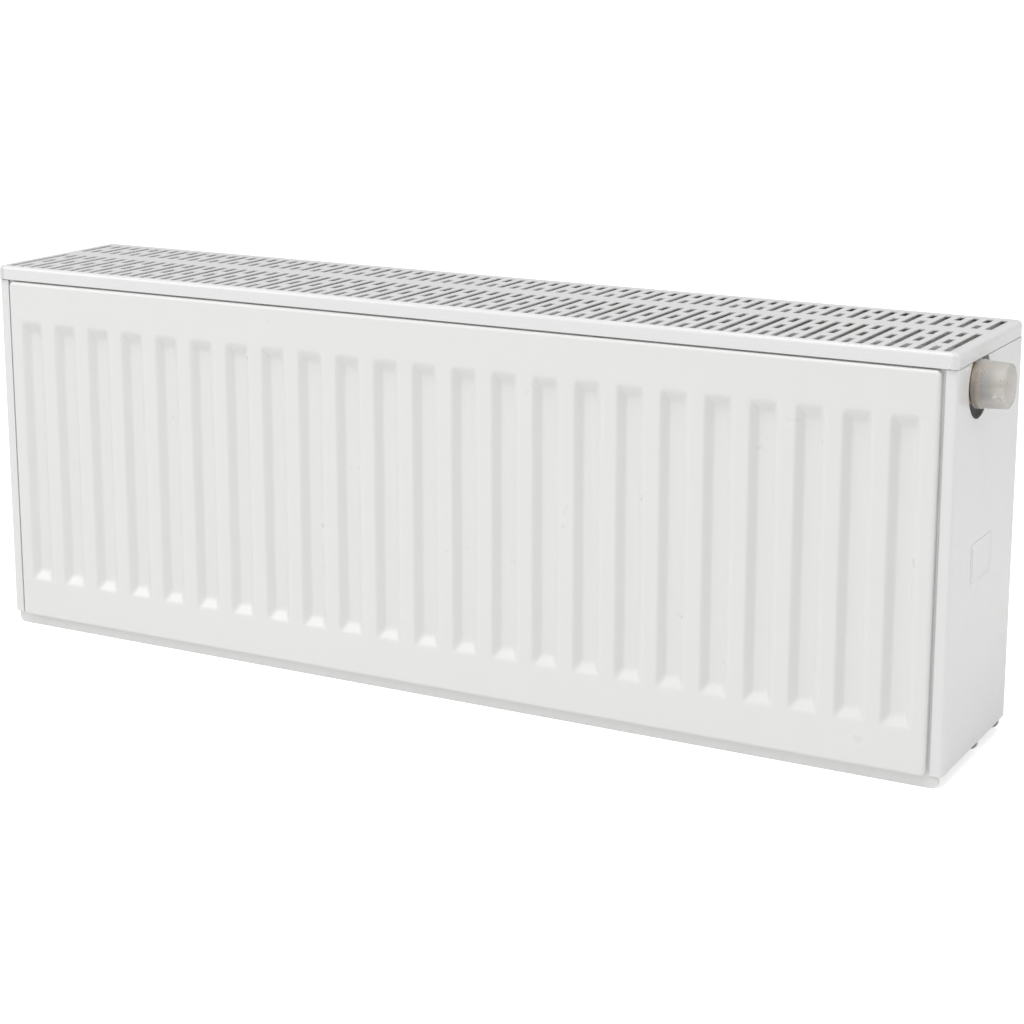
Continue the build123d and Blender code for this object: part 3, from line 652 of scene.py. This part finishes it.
def finish(name, surface, tones, values, relief, **shader):
    """Material: a surface group feeding a Principled shader whose constants sit on its own sockets."""
    material = bpy.data.materials.new(name)
    material.use_nodes = True
    tree = material.node_tree
    principled = tree.nodes["Principled BSDF"]
    group = tree.nodes.new("ShaderNodeGroup")
    group.node_tree = surface
    first, second = [socket for socket in group.inputs if socket.type == "RGBA"]
    first.default_value, second.default_value = [(*tone, 1) for tone in tones]
    for key, value in values.items():
        group.inputs[key].default_value = value
    strength, distance = relief
    bump = add_node(tree, "ShaderNodeBump", Strength=strength, Distance=distance,
                    Height=group.outputs["Height"])
    tree.links.new(group.outputs["Color"], principled.inputs["Base Color"])
    tree.links.new(group.outputs["Roughness"], principled.inputs["Roughness"])
    tree.links.new(bump.outputs["Normal"], principled.inputs["Normal"])
    for key, value in shader.items():
        principled.inputs[key.replace("_", " ")].default_value = value
    return material


panel_enamel = finish("panel_enamel", enamel_surface, [(0.78, 0.78, 0.775), (0.77, 0.77, 0.758)],
                      {"Peel Scale": 480.0, "Gloss": 0.3}, (0.2, 0.006 * MM),
                      Coat_Weight=0.2, Coat_Roughness=0.14)
casing_enamel = finish("casing_enamel", enamel_surface, [(0.78, 0.78, 0.78), (0.77, 0.77, 0.765)],
                       {"Peel Scale": 620.0, "Gloss": 0.24}, (0.2, 0.006 * MM),
                       Coat_Weight=0.3, Coat_Roughness=0.1)
brass = finish("valve_brass", metal_surface, [(0.62, 0.45, 0.22), (0.36, 0.24, 0.11)], {"Gloss": 0.2},
               (0.25, 0.02 * MM), Metallic=1.0)
nickel = finish("nickel_plate", metal_surface, [(0.70, 0.68, 0.64), (0.50, 0.48, 0.44)], {"Gloss": 0.16},
                (0.2, 0.02 * MM), Metallic=1.0)
steel = finish("pin_steel", metal_surface, [(0.58, 0.58, 0.58), (0.42, 0.42, 0.43)], {"Gloss": 0.2},
               (0.2, 0.02 * MM), Metallic=1.0)
rubber = finish("seal_rubber", moulded_surface, [(0.018, 0.018, 0.019), (0.03, 0.03, 0.03)],
                {"Grain Scale": 2400.0, "Gloss": 0.5}, (0.3, 0.03 * MM))
white_plastic = finish("white_plastic", moulded_surface, [(0.78, 0.78, 0.765), (0.74, 0.74, 0.72)],
                       {"Gloss": 0.36}, (0.15, 0.03 * MM))
nylon = finish("clip_nylon", moulded_surface, [(0.72, 0.71, 0.66), (0.64, 0.63, 0.57)], {"Gloss": 0.34},
               (0.15, 0.03 * MM), Subsurface_Weight=0.2, Subsurface_Scale=1.0 * MM)
grey_plastic = finish("preset_plastic", moulded_surface, [(0.36, 0.40, 0.44), (0.30, 0.34, 0.38)],
                      {"Gloss": 0.4}, (0.2, 0.03 * MM))
milky_plastic = finish("cap_plastic", moulded_surface, [(0.95, 0.93, 0.90), (0.92, 0.90, 0.86)],
                       {"Grain Scale": 700.0, "Gloss": 0.22}, (0.06, 0.02 * MM),
                       Transmission_Weight=0.72, IOR=1.3)

finishes = {
    "panel_enamel": panel_enamel, "casing_enamel": casing_enamel, "nickel_plate": nickel,
    "seal_rubber": rubber, "white_plastic": white_plastic, "clip_plastic": nylon,
    "valve_brass": brass, "pin_steel": steel, "preset_plastic": grey_plastic,
    "cap_plastic": milky_plastic,
}

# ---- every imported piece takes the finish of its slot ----
for part in frame["record"]["subparts"]:
    node = frame["nodes"][part["node"]]
    node.data.materials.clear()
    node.data.materials.append(finishes[part["material_slot"]])

# ---- drawn pieces ----
for panel, seam in seams.items():
    pressed_sheet(panel + "_front_sheet", seam, -1)
    pressed_sheet(panel + "_rear_sheet", seam, 1)

wide_start = seams["front_panel"] + sheet + press_depth
wide_end = seams["middle_panel"] - sheet - press_depth
narrow_end = seams["rear_panel"] - sheet - press_depth
convector("front_convector", wide_start, span("front_convector", Y)[1])
convector("middle_convector", wide_end, span("middle_convector", Y)[0])
convector("rear_convector", narrow_end, span("rear_convector", Y)[0])

slotted_grille()
side_cover("right_side_cover", "right_cover_plate", 1, "right_cover")
side_cover("left_side_cover", "left_cover_plate", -1, "left_cover")
cover_badge()


def protective_cap():
    """Cap over the valve, as an outline turned about the valve's axis.

    From the inner boss the outline runs round the hollow, back over the rim with its one shallow
    groove, up a slight taper and over a rounded end to the axis.
    """
    start, end = span("protective_cap", X)
    rim = (span("protective_cap", Y)[1] - span("protective_cap", Y)[0]) / 2
    profile = np.array([
        (0.0, -0.35), (0.3, 0.0), (1.2, 0.0), (1.45, -0.25), (1.9, -0.25), (2.15, 0.0), (4.8, 0.0),
        (5.15, -0.12), (5.5, -0.42), (9.0, -0.62), (14.0, -0.94), (20.0, -1.32)])
    walls = np.column_stack([start + profile[:, 0] * MM, rim + profile[:, 1] * MM])
    a = np.linspace(0.1, 1, 7) * pi / 2
    end_round, end_wall, boss_length, thread_wall = 1.5 * MM, 1.6 * MM, 4.0 * MM, 1.65 * MM
    end_r = walls[-1, 1] + 0.02 * MM
    nose = np.column_stack([end - end_round * (1 - np.sin(a)), end_r - end_round * (1 - np.cos(a))])
    inner_end = end - end_wall
    hollow = np.array([
        (inner_end - boss_length, 0), (inner_end - boss_length, 2.9 * MM),
        (inner_end - 3.7 * MM, 3.2 * MM), (inner_end - 0.4 * MM, 3.2 * MM), (inner_end, 3.6 * MM),
        (inner_end, end_r - 2.4 * MM), (inner_end - 0.8 * MM, end_r - end_wall),
        (start + 8.9 * MM, end_r - end_wall), (start + 8.55 * MM, rim - thread_wall),
        (start, rim - thread_wall)])
    outline = np.concatenate([hollow, walls, nose, [(end, 0)]])
    turned_piece("valve_protective_cap", outline, valve_axis_y, valve_axis_z, "protective_cap",
                 "protective_cap", milky_plastic)


protective_cap()

# ---- floor, light and camera ----
floor_mesh = bpy.data.meshes.new("pale_floor")
far = 60
floor_mesh.from_pydata([(-far, -far, 0), (far, -far, 0), (far, far, 0), (-far, far, 0)], [], [(0, 1, 2, 3)])
floor = bpy.data.objects.new("pale_floor", floor_mesh)
bpy.context.scene.collection.objects.link(floor)
floor_paint = bpy.data.materials.new("pale_floor")
floor_paint.use_nodes = True
floor_shader = floor_paint.node_tree.nodes["Principled BSDF"]
floor_shader.inputs["Base Color"].default_value = (0.93, 0.93, 0.93, 1)
floor_shader.inputs["Roughness"].default_value = 0.9
floor_shader.inputs["Emission Color"].default_value = (1, 1, 1, 1)
floor_seen = floor_paint.node_tree.nodes.new("ShaderNodeLightPath").outputs["Is Camera Ray"]
floor_paint.node_tree.links.new(maths(floor_paint.node_tree, "MULTIPLY", floor_seen, 0.6),
                                floor_shader.inputs["Emission Strength"])
floor_mesh.materials.append(floor_paint)

world = bpy.data.worlds.new("pale_room")
world.use_nodes = True
room = world.node_tree.nodes["Background"]
room.inputs["Color"].default_value = (1, 1, 1, 1)
seen = world.node_tree.nodes.new("ShaderNodeLightPath").outputs["Is Camera Ray"]
brighter = maths(world.node_tree, "MULTIPLY", seen, 0.44)
world.node_tree.links.new(maths(world.node_tree, "ADD", brighter, 0.56), room.inputs["Strength"])
bpy.context.scene.world = world


def soft_light(name, place, target, size, power):
    """Square area light at a place, turned to face its target."""
    lamp = bpy.data.lights.new(name, "AREA")
    lamp.shape = "SQUARE"
    lamp.size = size
    lamp.energy = power
    light = bpy.data.objects.new(name, lamp)
    bpy.context.scene.collection.objects.link(light)
    light.location = place
    light.rotation_euler = (Vector(target) - Vector(place)).to_track_quat("-Z", "Y").to_euler()


middle = (0, 0, 0.15)
soft_light("left_light", (-2.2, -1.9, 1.9), middle, 1.6, 20)
soft_light("top_light", (0.1, -1.0, 2.4), middle, 1.8, 29)
soft_light("right_light", (2.4, 0.6, 1.0), middle, 1.5, 9)

camera_data = bpy.data.cameras.new("camera")
camera_data.lens = 80.61
camera_data.sensor_width = 36.0
camera_data.shift_y = -0.0838
camera = bpy.data.objects.new("camera", camera_data)
bpy.context.scene.collection.objects.link(camera)
camera.location = (0.831, -1.4875, 0.575)
camera.rotation_euler = (pi / 2 - 0.219, 0, 0.499)
bpy.context.scene.camera = camera
bpy.context.scene.view_settings.view_transform = "Standard"
